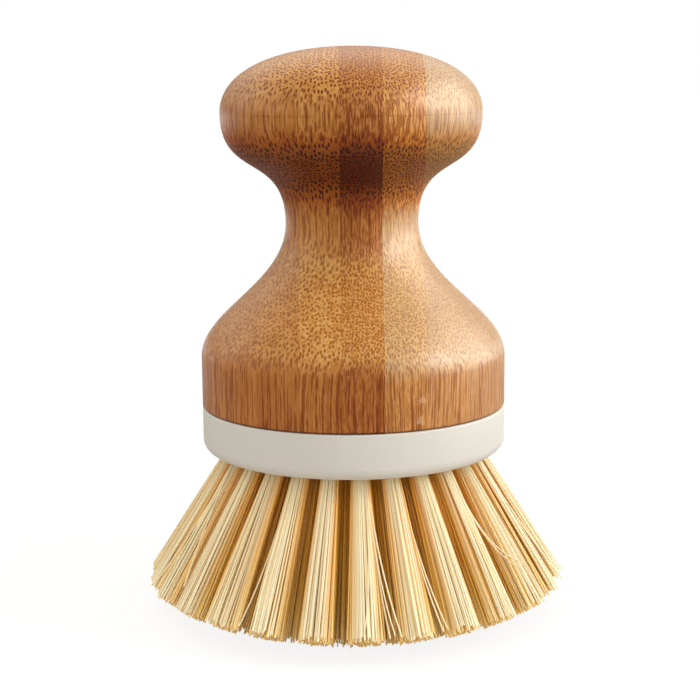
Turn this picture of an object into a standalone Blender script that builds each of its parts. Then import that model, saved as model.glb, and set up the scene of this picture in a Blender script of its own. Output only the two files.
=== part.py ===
"""Vegetable brush: a turned bamboo palm handle with a screw-on bristle head.

The handle is turned from a block of glued bamboo laminae, so it is modelled as
one turned form cut along its glue planes. The head is a moulded tufting block
with a screw stud on top and rows of natural fibre tufts below. Each outer tuft
leans outwards in its own drilled hole, and the trimmed ends lie on a shallow
bowl that is flat in the middle, where the brush stands.

Units are metres, +Z is up, the brush axis is Z and Z = 0 is the flat middle of
the trimmed bristles. The laminae are stacked along X, and -Y is the front.
"""

import math
import random

import bmesh
import bpy
from mathutils import Matrix, Vector
from mathutils.geometry import interpolate_bezier

MM = 0.001

# Handle, with heights above its flat base
BASE_RADIUS = 28.0 * MM
WALL_HEIGHT = 9.0 * MM
NECK_RADIUS = 12.15 * MM
NECK_HEIGHT = 33.4 * MM
KNOB_RADIUS = 23.9 * MM
KNOB_HEIGHT = 53.2 * MM
HANDLE_HEIGHT = 65.2 * MM

# How far the turned curve keeps its direction: off the crown, above and below
# the knob's widest line, above and below the neck, and above the straight wall
CROWN_REACH = 14.2 * MM
KNOB_UPPER_REACH = 7.4 * MM
KNOB_LOWER_REACH = 11.5 * MM
NECK_UPPER_REACH = 13.0 * MM
NECK_LOWER_REACH = 11.2 * MM
SHOULDER_REACH = 8.4 * MM

# Laminae of the bamboo block, numbered from -X
LAMINA_WIDTH = 7.37 * MM
LAMINA_COUNT = 8
MIDDLE_GLUE_LINE = -2.05 * MM
GLUE_FILM = 0.1 * MM
DARK_LAMINAE = (2, 5)

# Tufting block
BLOCK_HEIGHT = 8.3 * MM
BLOCK_EDGE_ARC = 2.2 * MM
SEAM = 0.2 * MM

# Screw joint between the block and the handle
STUD_RADIUS = 7.0 * MM
STUD_HEIGHT = 8.0 * MM
STUD_CHAMFER = 1.0 * MM
THREAD_CLEARANCE = 0.3 * MM
SOCKET_WALL = 2.3 * MM
SOCKET_RIB = 0.5 * MM
SOCKET_RIB_COUNT = 2
SOCKET_ROOF = 1.5 * MM
STUD_END_ROOM = 0.8 * MM
GLUE_FIT = 0.3 * MM

# Seal washer in its groove round the stud
WASHER_WIDTH = 3.0 * MM
WASHER_THICKNESS = 1.2 * MM
WASHER_FIT = 0.3 * MM

# Bristles
BRISTLE_DEPTH = 29.7 * MM
TRIM_FLAT_RADIUS = 20.0 * MM
TRIM_ARC = 33.0 * MM
UNEVEN_ENDS = 0.5 * MM
TRIM_SEED = 26
TUFT_RADIUS = 1.65 * MM
TUFT_SPREAD = 2.2
STRAND_SWELL = 1.6
ROOT_STAND_OFF = 0.3 * MM
HOLE_DEPTH = 5.0 * MM
HOLE_CLEARANCE = 0.25 * MM
PLATE_THICKNESS = 1.7 * MM
PLATE_MARGIN = 0.3 * MM
PLATE_FIT = 0.3 * MM
FRONT_TUFT_ANGLE = math.radians(2.75)

# Rows of tufts: how many, their circle at the block and their circle at the tips
OUTER_COUNT = 26
OUTER_ROOT_CIRCLE = 21.6 * MM
OUTER_TIP_CIRCLE = 36.2 * MM
SECOND_COUNT = 20
SECOND_ROOT_CIRCLE = 15.8 * MM
SECOND_TIP_CIRCLE = 27.4 * MM
THIRD_COUNT = 14
THIRD_ROOT_CIRCLE = 11.0 * MM
THIRD_TIP_CIRCLE = 19.0 * MM
INNER_COUNT = 8
INNER_ROOT_CIRCLE = 6.0 * MM
INNER_TIP_CIRCLE = 10.4 * MM

# Strands in one tuft, as rings of sectors round the tuft's centre
OUTER_SECTORS = 8
SECOND_SECTORS = 5
HIDDEN_SECTORS = 3

# Facets, and how far a cutter runs past what it cuts
TURN_STEPS = 48
SMALL_TURN_STEPS = 32
CURVE_POINTS = 10
ARC_STEP = math.radians(12)
SMOOTH_ANGLE = math.radians(35)
TRIM_HALVINGS = 40
WELD_DISTANCE = 0.001 * MM
CUTTER_OVERRUN = 1.0 * MM

# Heights of the main planes
BLOCK_BOTTOM = BRISTLE_DEPTH
BLOCK_TOP = BLOCK_BOTTOM + BLOCK_HEIGHT
HANDLE_BASE = BLOCK_TOP + SEAM
STUD_TOP = BLOCK_TOP + STUD_HEIGHT
SOCKET_BORE_RADIUS = STUD_RADIUS + THREAD_CLEARANCE
SOCKET_RADIUS = SOCKET_BORE_RADIUS + SOCKET_WALL
SOCKET_CEILING = STUD_TOP + STUD_END_ROOM
SOCKET_TOP = SOCKET_CEILING + SOCKET_ROOF

# Colours and roughnesses
BAMBOO_LIGHT = (0.56, 0.33, 0.14)
BAMBOO_DARK = (0.42, 0.20, 0.075)
LACQUER_ROUGHNESS = 0.42
BLOCK_WHITE = (0.78, 0.74, 0.68)
BLOCK_ROUGHNESS = 0.38
SOCKET_GREY = (0.60, 0.60, 0.58)
SOCKET_ROUGHNESS = 0.45
SEAL_GREY = (0.16, 0.16, 0.16)
SEAL_ROUGHNESS = 0.7
FIBRE_CREAM = (0.78, 0.58, 0.30)
FIBRE_ROUGHNESS = 0.6


def clear_scene():
    for old in list(bpy.data.objects):
        bpy.data.objects.remove(old, do_unlink=True)


def principled(name, colour, roughness, metallic=0.0):
    """One Principled material with its base colour, roughness and metallic value."""
    material = bpy.data.materials.new(name)
    material.use_nodes = True
    shader = material.node_tree.nodes["Principled BSDF"]
    shader.inputs["Base Color"].default_value = (*colour, 1.0)
    shader.inputs["Roughness"].default_value = roughness
    shader.inputs["Metallic"].default_value = metallic
    material.diffuse_color = (*colour, 1.0)
    return material


def add_object(name, mesh, material=None):
    thing = bpy.data.objects.new(name, mesh)
    bpy.context.scene.collection.objects.link(thing)
    if material is not None and not mesh.materials:
        mesh.materials.append(material)
    return thing


def mesh_from(name, bm, smooth=True):
    """Closes off a bmesh as a mesh with outward faces, shaded smooth below the sharp angle."""
    bmesh.ops.recalc_face_normals(bm, faces=bm.faces)
    mesh = bpy.data.meshes.new(name)
    bm.to_mesh(mesh)
    bm.free()
    if smooth:
        mesh.shade_smooth()
        mesh.set_sharp_from_angle(angle=SMOOTH_ANGLE)
    return mesh


def arc_points(centre, radius, start, end):
    """Points along an arc in the (radius, height) plane, both ends included."""
    count = max(1, math.ceil(abs(end - start) / ARC_STEP))
    points = []
    for index in range(count + 1):
        angle = start + (end - start) * index / count
        points.append((centre[0] + radius * math.cos(angle), centre[1] + radius * math.sin(angle)))
    return points


def curve_points(start, start_handle, end_handle, end):
    """Points along a Bezier curve in the (radius, height) plane, without its first one."""
    corners = [Vector((*corner, 0.0)) for corner in (start, start_handle, end_handle, end)]
    return [(spot.x, spot.y) for spot in interpolate_bezier(*corners, CURVE_POINTS)[1:]]


def turned_bmesh(outline, closed=False, steps=TURN_STEPS):
    """Spins an outline of (radius, height) points round Z into a closed surface.

    The outline starts and ends on the axis, or is closed and lies off it.
    """
    bm = bmesh.new()
    verts = [bm.verts.new((radius, 0.0, height)) for radius, height in outline]
    edges = [bm.edges.new(pair) for pair in zip(verts, verts[1:])]
    if closed:
        edges.append(bm.edges.new((verts[-1], verts[0])))
    bmesh.ops.spin(
        bm,
        geom=verts + edges,
        cent=(0.0, 0.0, 0.0),
        axis=(0.0, 0.0, 1.0),
        angle=math.tau,
        steps=steps,
        use_merge=True,
    )
    bmesh.ops.remove_doubles(bm, verts=bm.verts, dist=WELD_DISTANCE)
    return bm


def add_boolean(target, cutter, operation):
    modifier = target.modifiers.new(operation.title(), "BOOLEAN")
    modifier.operation = operation
    modifier.solver = "EXACT"
    modifier.object = cutter
    cutter.hide_render = True
    cutter.display_type = "WIRE"


# Handle


def handle_outline():
    """The turned form from the crown down, with the socket's pocket bored into its foot.

    Its three curves start level at the crown and run upright where they meet.
    """
    crown = HANDLE_BASE + HANDLE_HEIGHT
    knob = HANDLE_BASE + KNOB_HEIGHT
    neck = HANDLE_BASE + NECK_HEIGHT
    wall = HANDLE_BASE + WALL_HEIGHT
    points = [(0.0, crown)]
    points += curve_points(
        (0.0, crown),
        (CROWN_REACH, crown),
        (KNOB_RADIUS, knob + KNOB_UPPER_REACH),
        (KNOB_RADIUS, knob),
    )
    points += curve_points(
        (KNOB_RADIUS, knob),
        (KNOB_RADIUS, knob - KNOB_LOWER_REACH),
        (NECK_RADIUS, neck + NECK_UPPER_REACH),
        (NECK_RADIUS, neck),
    )
    points += curve_points(
        (NECK_RADIUS, neck),
        (NECK_RADIUS, neck - NECK_LOWER_REACH),
        (BASE_RADIUS, wall + SHOULDER_REACH),
        (BASE_RADIUS, wall),
    )
    pocket_radius = SOCKET_RADIUS + GLUE_FIT
    pocket_roof = SOCKET_TOP + GLUE_FIT
    points += [(BASE_RADIUS, HANDLE_BASE), (pocket_radius, HANDLE_BASE)]
    points += [(pocket_radius, pocket_roof), (0.0, pocket_roof)]
    return points


def lamina_sides(number):
    """The glue planes left and right of a lamina. The first and last have one each."""
    middle = LAMINA_COUNT / 2
    left = MIDDLE_GLUE_LINE + (number - 1 - middle) * LAMINA_WIDTH
    right = MIDDLE_GLUE_LINE + (number - middle) * LAMINA_WIDTH
    return None if number == 1 else left, None if number == LAMINA_COUNT else right


def cut_away(bm, x, keep_right):
    """Cuts the body at a plane of constant X and closes the cut with flat faces."""
    geometry = bm.verts[:] + bm.edges[:] + bm.faces[:]
    bmesh.ops.bisect_plane(
        bm,
        geom=geometry,
        dist=WELD_DISTANCE,
        plane_co=(x, 0.0, 0.0),
        plane_no=(1.0, 0.0, 0.0),
        clear_inner=keep_right,
        clear_outer=not keep_right,
    )
    rim = [edge for edge in bm.edges if edge.is_boundary]
    bmesh.ops.holes_fill(bm, edges=rim, sides=0)


def lamina(name, material, left, right, part=None):
    """One lamina of the turned form, whole or only its stretch above or below the neck."""
    bm = turned_bmesh(handle_outline())
    if left is not None:
        cut_away(bm, left + GLUE_FILM / 2, keep_right=True)
    if right is not None:
        cut_away(bm, right - GLUE_FILM / 2, keep_right=False)
    waist = HANDLE_BASE + NECK_HEIGHT
    if part == "base":
        spare = [vert for vert in bm.verts if vert.co.z > waist]
        bmesh.ops.delete(bm, geom=spare, context="VERTS")
    if part == "knob":
        spare = [vert for vert in bm.verts if vert.co.z < waist]
        bmesh.ops.delete(bm, geom=spare, context="VERTS")
    return add_object(name, mesh_from(name, bm), material)


def build_handle():
    """All laminae of the turned block.

    A lamina that lies outside the neck comes off the lathe as two pieces, one in
    the base and one in the knob, and one that lies outside the base is turned away.
    """
    light = principled("bamboo_light", BAMBOO_LIGHT, LACQUER_ROUGHNESS)
    dark = principled("bamboo_dark", BAMBOO_DARK, LACQUER_ROUGHNESS)
    for number in range(1, LAMINA_COUNT + 1):
        left, right = lamina_sides(number)
        inner = 0.0
        if left is not None and left > 0:
            inner = left
        if right is not None and right < 0:
            inner = -right
        if inner >= BASE_RADIUS:
            continue
        material = dark if number in DARK_LAMINAE else light
        name = f"bamboo_strip_{number}"
        if inner < NECK_RADIUS:
            lamina(name, material, left, right)
            continue
        lamina(f"{name}_base", material, left, right, "base")
        if inner < KNOB_RADIUS:
            lamina(f"{name}_knob", material, left, right, "knob")


def build_socket():
    """Moulded cup with the inner thread, glued into the handle, with ribs that key the glue."""
    outline = [
        (0.0, SOCKET_CEILING),
        (SOCKET_BORE_RADIUS, SOCKET_CEILING),
        (SOCKET_BORE_RADIUS, HANDLE_BASE),
        (SOCKET_RADIUS, HANDLE_BASE),
    ]
    groove_radius = SOCKET_RADIUS - SOCKET_RIB
    pitch = (SOCKET_TOP - HANDLE_BASE) / (2 * SOCKET_RIB_COUNT + 1)
    for index in range(SOCKET_RIB_COUNT):
        groove_foot = HANDLE_BASE + (2 * index + 1) * pitch
        outline += [(SOCKET_RADIUS, groove_foot), (groove_radius, groove_foot)]
        outline += [(groove_radius, groove_foot + pitch), (SOCKET_RADIUS, groove_foot + pitch)]
    outline += [(SOCKET_RADIUS, SOCKET_TOP), (0.0, SOCKET_TOP)]
    material = principled("socket_nylon", SOCKET_GREY, SOCKET_ROUGHNESS)
    bm = turned_bmesh(outline, steps=SMALL_TURN_STEPS)
    add_object("threaded_socket", mesh_from("threaded_socket", bm), material)


def build_washer():
    """Soft ring that seals the screw joint, lying in its groove round the stud's foot."""
    inner = STUD_RADIUS + WASHER_FIT
    outer = inner + WASHER_WIDTH
    foot = BLOCK_TOP - WASHER_THICKNESS
    outline = [(inner, BLOCK_TOP), (outer, BLOCK_TOP), (outer, foot), (inner, foot)]
    material = principled("seal_rubber", SEAL_GREY, SEAL_ROUGHNESS)
    bm = turned_bmesh(outline, closed=True, steps=SMALL_TURN_STEPS)
    add_object("seal_washer", mesh_from("seal_washer", bm), material)


# Bristle head


def trim_height(radius):
    """Height of the trimmed surface: flat in the middle and rising on an arc towards the rim."""
    if radius <= TRIM_FLAT_RADIUS:
        return 0.0
    return TRIM_ARC - math.sqrt(TRIM_ARC**2 - (radius - TRIM_FLAT_RADIUS) ** 2)


class Tuft:
    """One tuft along its own axis, which leans out from the root circle to the tip circle.

    The tuft stands in the plane through Z and its azimuth. Points across it are given
    as (outward, sideways) offsets from its axis.
    """

    def __init__(self, root_circle, tip_circle, azimuth):
        outward = Vector((math.cos(azimuth), math.sin(azimuth), 0.0))
        self.root = outward * root_circle + Vector((0.0, 0.0, BLOCK_BOTTOM))
        self.tip = outward * tip_circle + Vector((0.0, 0.0, trim_height(tip_circle)))
        self.axis = (self.tip - self.root).normalized()
        self.side = Vector((0.0, 0.0, 1.0)).cross(outward)
        self.out = self.side.cross(self.axis).normalized()
        if self.out.dot(outward) < 0:
            self.out.negate()
        self.lean = math.acos(-self.axis.z)

    def point(self, along, out, sideways):
        return self.root + self.axis * along + self.out * out + self.side * sideways

    def length(self):
        return (self.tip - self.root).length


def tuft_cells(sectors, rings):
    """Splits the tuft's round end into cells, one for each strand.

    One ring gives a fan of three-sided cells. Two rings give four-sided cells,
    half as many in the middle as in the rim. Returns (radius share, angle) points
    and the cells as lists of their indices.
    """
    points = [(0.0, 0.0)]
    for ring in range(1, rings + 1):
        for index in range(sectors):
            points.append((ring / rings, math.tau * index / sectors))
    if rings == 1:
        return points, [[0, 1 + index, 1 + (index + 1) % sectors] for index in range(sectors)]
    cells = []
    for index in range(0, sectors, 2):
        cells.append([0, 1 + index, 1 + index + 1, 1 + (index + 2) % sectors])
    for index in range(sectors):
        after = (index + 1) % sectors
        cells.append([1 + index, 1 + sectors + index, 1 + sectors + after, 1 + after])
    return points, cells


def strand_end(foot, aim, uneven):
    """Where a strand's edge, drawn from foot through aim, meets the trimmed surface.

    An end that would reach below the flat middle is cut off level with it.
    """
    low, high = 0.0, 2.0
    for _ in range(TRIM_HALVINGS):
        middle = (low + high) / 2
        spot = foot.lerp(aim, middle)
        cut = max(0.0, trim_height(math.hypot(spot.x, spot.y)) + uneven)
        if spot.z > cut:
            low = middle
        else:
            high = middle
    spot = foot.lerp(aim, low)
    if spot.z < WELD_DISTANCE:
        spot.z = 0.0
    return spot


def add_tuft(bm, tuft, sectors, rings, back, chance):
    """Adds a tuft as one closed body: its root plug, and strands drawn out of the plug's end.

    The plug reaches back into the block, and its end stands just clear of it.
    """
    front = TUFT_RADIUS * math.tan(tuft.lean) + ROOT_STAND_OFF
    points, cells = tuft_cells(sectors, rings)
    offsets = []
    for share, turn in points:
        radius = share * TUFT_RADIUS
        offsets.append((radius * math.cos(turn), radius * math.sin(turn)))
    verts = [bm.verts.new(tuft.point(front, *offset)) for offset in offsets]
    rim = verts[-sectors:]
    base = [bm.verts.new(vert.co + tuft.axis * (back - front)) for vert in rim]
    for index in range(sectors):
        after = (index + 1) % sectors
        bm.faces.new((base[index], base[after], rim[after], rim[index]))
    bm.faces.new(base)
    ends = [bm.faces.new([verts[index] for index in cell]) for cell in cells]
    drawn = bmesh.ops.extrude_discrete_faces(bm, faces=ends)["faces"]
    for face, cell in zip(drawn, cells):
        corners = [Vector(offsets[index]) for index in cell]
        middle = sum(corners, Vector((0.0, 0.0))) / len(corners)
        uneven = chance.uniform(-UNEVEN_ENDS, UNEVEN_ENDS)
        for vert, corner in zip(list(face.verts), corners):
            offset = middle * TUFT_SPREAD + (corner - middle) * STRAND_SWELL
            aim = tuft.point(tuft.length(), *offset)
            vert.co = strand_end(vert.co.copy(), aim, uneven)


def row_azimuths(count, shift=0.0):
    """A row's azimuths, counted from the front towards +X and shifted by a share of its pitch."""
    front = -math.pi / 2 + FRONT_TUFT_ANGLE
    return [front + math.tau * (index + shift) / count for index in range(count)]


def hole_bmesh():
    """All of the outer row's slanted blind holes as one cutter, with as many sides as a tuft."""
    bm = bmesh.new()
    radius = (TUFT_RADIUS + HOLE_CLEARANCE) / math.cos(math.pi / OUTER_SECTORS)
    for azimuth in row_azimuths(OUTER_COUNT):
        tuft = Tuft(OUTER_ROOT_CIRCLE, OUTER_TIP_CIRCLE, azimuth)
        mouth = radius * math.tan(tuft.lean) + CUTTER_OVERRUN
        bottom = []
        top = []
        for index in range(OUTER_SECTORS):
            turn = math.tau * index / OUTER_SECTORS
            across = (radius * math.cos(turn), radius * math.sin(turn))
            bottom.append(bm.verts.new(tuft.point(mouth, *across)))
            top.append(bm.verts.new(tuft.point(-HOLE_DEPTH, *across)))
        for index in range(OUTER_SECTORS):
            after = (index + 1) % OUTER_SECTORS
            bm.faces.new((bottom[index], bottom[after], top[after], top[index]))
        bm.faces.new(bottom)
        bm.faces.new(top)
    return bm


def plate_edges(root_circle):
    """Inner and outer radius of the plate that carries a row of tufts."""
    return root_circle - TUFT_RADIUS - PLATE_MARGIN, root_circle + TUFT_RADIUS + PLATE_MARGIN


def build_block():
    """Moulded block: rounded lower edge, screw stud, washer groove, plate recess and tuft holes."""
    groove_inner = STUD_RADIUS
    groove_outer = STUD_RADIUS + WASHER_WIDTH + 2 * WASHER_FIT
    groove_floor = BLOCK_TOP - WASHER_THICKNESS - WASHER_FIT
    recess_radius = plate_edges(SECOND_ROOT_CIRCLE)[1] + PLATE_FIT
    recess_roof = BLOCK_BOTTOM + PLATE_THICKNESS + PLATE_FIT
    edge = (BASE_RADIUS - BLOCK_EDGE_ARC, BLOCK_BOTTOM + BLOCK_EDGE_ARC)
    outline = [
        (0.0, STUD_TOP),
        (STUD_RADIUS - STUD_CHAMFER, STUD_TOP),
        (STUD_RADIUS, STUD_TOP - STUD_CHAMFER),
        (groove_inner, groove_floor),
        (groove_outer, groove_floor),
        (groove_outer, BLOCK_TOP),
        (BASE_RADIUS, BLOCK_TOP),
    ]
    outline += arc_points(edge, BLOCK_EDGE_ARC, 0.0, -math.pi / 2)
    outline += [(recess_radius, BLOCK_BOTTOM), (recess_radius, recess_roof), (0.0, recess_roof)]
    material = principled("block_white", BLOCK_WHITE, BLOCK_ROUGHNESS)
    block = add_object("tufting_block", mesh_from("tufting_block", turned_bmesh(outline)), material)
    holes = add_object("tuft_hole_cutter", mesh_from("tuft_holes", hole_bmesh(), smooth=False))
    add_boolean(block, holes, "DIFFERENCE")


def build_outer_tufts(material, chance):
    """The outer row: one mesh, turned round the axis into each hole."""
    bm = bmesh.new()
    tuft = Tuft(OUTER_ROOT_CIRCLE, OUTER_TIP_CIRCLE, 0.0)
    back = HOLE_CLEARANCE - HOLE_DEPTH
    add_tuft(bm, tuft, OUTER_SECTORS, 2, back, chance)
    mesh = mesh_from("outer_tuft", bm, smooth=False)
    for number, azimuth in enumerate(row_azimuths(OUTER_COUNT), start=1):
        thing = add_object(f"outer_tuft_{number:02d}", mesh, material)
        thing.matrix_world = Matrix.Rotation(azimuth, 4, "Z")


def build_plate(name, material, inner, outer, rows, chance):
    """One row or more of tufts standing on a thin plate, which lies in the block's recess.

    The plate is a ring, or a disc where its inner radius is 0. Roots reach halfway into it.
    """
    top = BLOCK_BOTTOM + PLATE_THICKNESS
    outline = [(inner, top), (outer, top), (outer, BLOCK_BOTTOM), (inner, BLOCK_BOTTOM)]
    plate = turned_bmesh(outline, closed=inner > 0)
    thing = add_object(name, mesh_from(name, plate, smooth=False), material)
    bm = bmesh.new()
    for count, root_circle, tip_circle, sectors in rows:
        for azimuth in row_azimuths(count, shift=0.5):
            tuft = Tuft(root_circle, tip_circle, azimuth)
            add_tuft(bm, tuft, sectors, 1, -PLATE_THICKNESS / 2, chance)
    strands = add_object(f"{name}_strands", mesh_from(f"{name}_strands", bm, smooth=False))
    add_boolean(thing, strands, "UNION")


def build_head():
    """The block with its outer row of tufts, and the three plates that carry the inner rows."""
    chance = random.Random(TRIM_SEED)
    fibre = principled("tampico_fibre", FIBRE_CREAM, FIBRE_ROUGHNESS)
    build_block()
    build_outer_tufts(fibre, chance)
    second_inner, second_outer = plate_edges(SECOND_ROOT_CIRCLE)
    third_outer = second_inner - PLATE_FIT
    third_inner = plate_edges(THIRD_ROOT_CIRCLE)[0]
    second = (SECOND_COUNT, SECOND_ROOT_CIRCLE, SECOND_TIP_CIRCLE, SECOND_SECTORS)
    third = (THIRD_COUNT, THIRD_ROOT_CIRCLE, THIRD_TIP_CIRCLE, HIDDEN_SECTORS)
    inner = (INNER_COUNT, INNER_ROOT_CIRCLE, INNER_TIP_CIRCLE, HIDDEN_SECTORS)
    middle = (1, 0.0, 0.0, HIDDEN_SECTORS)
    build_plate("second_row_tufts", fibre, second_inner, second_outer, [second], chance)
    build_plate("third_row_tufts", fibre, third_inner, third_outer, [third], chance)
    build_plate("middle_tufts", fibre, 0.0, third_inner - PLATE_FIT, [inner, middle], chance)


clear_scene()
build_handle()
build_socket()
build_washer()
build_head()
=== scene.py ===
"""Looks of a vegetable brush: a turned bamboo handle on a screw-on head of natural fibre tufts.

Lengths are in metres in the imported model's frame. +Z runs up the brush's axis from the flat
middle of the trimmed bristles, -Y is the front, and the bamboo laminae are stacked along X.
"""

import math
import random
from collections import namedtuple
import bmesh
import bpy
from mathutils import Matrix, Vector, noise
from mathutils.geometry import interpolate_bezier


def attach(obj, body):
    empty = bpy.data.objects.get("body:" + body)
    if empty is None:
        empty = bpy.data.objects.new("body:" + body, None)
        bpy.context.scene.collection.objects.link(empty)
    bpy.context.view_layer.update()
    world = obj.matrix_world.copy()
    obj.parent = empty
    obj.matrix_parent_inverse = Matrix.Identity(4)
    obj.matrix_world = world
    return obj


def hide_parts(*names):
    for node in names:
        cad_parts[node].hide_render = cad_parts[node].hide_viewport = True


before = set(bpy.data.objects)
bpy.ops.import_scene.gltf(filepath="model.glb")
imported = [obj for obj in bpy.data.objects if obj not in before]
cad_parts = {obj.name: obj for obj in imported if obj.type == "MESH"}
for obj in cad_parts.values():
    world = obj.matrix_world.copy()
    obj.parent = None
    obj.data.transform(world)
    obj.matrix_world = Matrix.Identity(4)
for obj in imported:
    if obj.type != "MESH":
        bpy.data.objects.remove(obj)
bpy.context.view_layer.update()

MM = 0.001

# Bamboo handle
# The handle is turned on a lathe from a block of eight bamboo laminae glued side by side.
# It is sanded flush and given a satin lacquer, so a glue line shows only as a step in tone.

BASE_RADIUS = 28.0 * MM
BASE_HEIGHT = 38.2 * MM
BASE_ARRIS = 0.25 * MM
WALL_TOP = BASE_HEIGHT + 9.0 * MM
NECK = (12.15 * MM, BASE_HEIGHT + 33.4 * MM)
KNOB = (23.75 * MM, BASE_HEIGHT + 53.2 * MM)
CROWN_HEIGHT = BASE_HEIGHT + 65.0 * MM

# Handles of the outline's three curves: crown to knob, knob to neck, and neck to wall
CROWN_HANDLES = (13.9 * MM, 7.4 * MM)
WAIST_HANDLES = (12.1 * MM, 13.0 * MM)
SHOULDER_HANDLES = (11.2 * MM, 8.1 * MM)
CURVE_POINTS = 30
ARC_STEPS = 6
LATHE_STEPS = 240

POCKET_RADIUS = 9.9 * MM
POCKET_ROOF = BASE_HEIGHT + 10.4 * MM

# The middle glue line parts the fourth lamina from the fifth
LAMINA_WIDTH = 7.37 * MM
MIDDLE_GLUE_LINE = -2.05 * MM
GLUE_FILM = 0.004 * MM

# Points closer than this are one, and an edge that turns by more degrees than this is sharp
MERGE_DISTANCE = 0.001 * MM
SHARP_ANGLE = 30

# Each lamina's tones against the block's mean: on the base's wall, on the shoulder, on the top
# of the knob, on the upright sides of neck and knob, and of the painted shade under the knob.
# Then its share of pale straw on the wall, on shoulder and neck, and on the knob, which on
# laminae 6 to 8 is partly their own paler tone and partly painted sheen on the lit right side,
# how strongly its vessels and its streaks are marked, and its vessels' size and spacing.
LAMINAE = {
    1: ((0.90, 0.84, 0.84, 1.00, 0.95), (0.00, 0.00, 0.00), 0.95, 0.30, 0.34, 0.72),
    2: ((0.91, 0.84, 0.84, 1.00, 0.95), (0.00, 0.00, 0.00), 0.95, 0.30, 0.34, 0.72),
    3: ((0.88, 0.91, 0.93, 1.05, 0.92), (0.00, 0.00, 0.00), 1.12, 0.30, 0.34, 0.72),
    4: ((0.93, 1.05, 0.94, 1.16, 0.88), (0.00, 0.00, 0.00), 1.25, 0.45, 0.35, 0.72),
    5: ((0.76, 0.97, 0.78, 0.91, 0.64), (0.00, 0.00, 0.00), 1.25, 1.00, 0.36, 0.54),
    6: ((1.07, 1.03, 0.88, 1.28, 1.20), (0.07, 0.24, 0.05), 1.20, 0.90, 0.36, 0.54),
    7: ((1.10, 0.85, 0.82, 1.14, 1.24), (0.13, 0.34, 0.42), 1.00, 0.35, 0.34, 0.56),
    8: ((1.02, 0.80, 0.80, 1.08, 1.24), (0.18, 0.32, 0.42), 1.00, 0.35, 0.34, 0.56),
}
DARK_LAMINAE = (2, 5)

# Light, middle and dark bamboo: the colour of upright surfaces, that of surfaces which face up,
# and how readily it takes on the pale straw and painted sheen
BAMBOO_COLOURS = (
    ((0.66, 0.27, 0.068), (0.72, 0.365, 0.100), 1.0),
    ((0.48, 0.162, 0.024), (0.49, 0.172, 0.022), 1.0),
    ((0.30, 0.066, 0.003), (0.28, 0.064, 0.002), 0.4),
)
# Pale straw, which on laminae 6 to 8 also stands in for painted sheen where the right side is lit
STRAW_AND_SHEEN = (0.64, 0.56, 0.37)

# Painted shade on a surface that faces down, as under the knob: where it starts, of its vessels,
# and where it is level
UNDER_SHADE = (0.86, 0.56, 0.25)
VESSEL_SHADE = (0.42, 0.34, 0.22, 1.0)
HOLLOW_SHADE = (0.69, 0.62, 0.54)

# Heights between which the wall's looks turn into the shoulder's, and the neck's into the knob's
SHOULDER_HEIGHTS = (46.0 * MM, 52.0 * MM)
KNOB_HEIGHTS = (64.0 * MM, 84.0 * MM)

# A faint broken darker line round the knob at its widest
WIDEST_LINE_COLOUR = (0.84, 0.66, 0.52, 1.0)
WIDEST_LINE_EDGES = (0.05 * MM, 0.20 * MM)

# Two small pale nicks on the base's wall, beside a glue line
NICKED_LAMINA = 6
NICKS = ((11.8 * MM, -25.4 * MM, 43.4 * MM), (11.4 * MM, -25.6 * MM, 39.9 * MM))
NICK_EDGES = (0.85 * MM, 0.35 * MM)
NICK_COLOUR = (0.84, 0.60, 0.36, 1.0)


class Wire:
    """An output socket of a node tree. Sums on wires add their Math nodes to the tree."""

    def __init__(self, socket):
        self.socket = socket
        self.tree = socket.id_data

    def node(self, kind, settings, inputs, output=0):
        """Adds a node, makes its settings and then its inputs, and gives one of its outputs."""
        new = self.tree.nodes.new("ShaderNode" + kind)
        for name, value in settings.items():
            setattr(new, name, value)
        for name, value in inputs.items():
            if isinstance(value, Wire):
                self.tree.links.new(value.socket, new.inputs[name])
            else:
                new.inputs[name].default_value = value
        return Wire(new.outputs[output])

    def sum(self, operation, *values):
        return self.node("Math", {"operation": operation}, dict(enumerate(values)))

    def __add__(self, other):
        return self.sum("ADD", self, other)

    def __radd__(self, other):
        return self.sum("ADD", other, self)

    def __sub__(self, other):
        return self.sum("SUBTRACT", self, other)

    def __rsub__(self, other):
        return self.sum("SUBTRACT", other, self)

    def __mul__(self, other):
        return self.sum("MULTIPLY", self, other)

    def __rmul__(self, other):
        return self.sum("MULTIPLY", other, self)

    def step(self, start, end):
        """0 on the start's side, 1 on the end's side, and a smooth change between them."""
        settings = {"interpolation_type": "SMOOTHSTEP", "clamp": True}
        inputs = {"Value": self, "From Min": min(start, end), "From Max": max(start, end)}
        rising = self.node("MapRange", settings, inputs)
        return rising if start < end else 1.0 - rising

    def axis(self, index):
        """One part of a vector: 0 for X, 1 for Y, 2 for Z."""
        return self.node("SeparateXYZ", {}, {"Vector": self}, index)

    def shifted(self, other):
        return self.node("VectorMath", {"operation": "ADD"}, {0: self, 1: other})

    def scaled(self, x, y, z):
        return self.node("VectorMath", {"operation": "MULTIPLY"}, {0: self, 1: (x, y, z)})

    def stretched(self, x, y, z):
        """A place as a pattern's input, where the pattern's pitch is x, y and z millimetres."""
        return self.scaled(1 / (x * MM), 1 / (y * MM), 1 / (z * MM))

    def distance(self, spot):
        return self.node("VectorMath", {"operation": "DISTANCE"}, {0: self, 1: spot}, 1)

    def noise(self, detail=2.0, roughness=0.5, output=0):
        inputs = {"Vector": self, "Scale": 1.0, "Detail": detail, "Roughness": roughness}
        return self.node("TexNoise", {}, inputs, output)

    def mixed(self, first, second, blend="MIX"):
        """Two colours mixed by this share."""
        settings = {"data_type": "RGBA", "blend_type": blend}
        return self.node("Mix", settings, {0: self, 6: first, 7: second}, 2)


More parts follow.
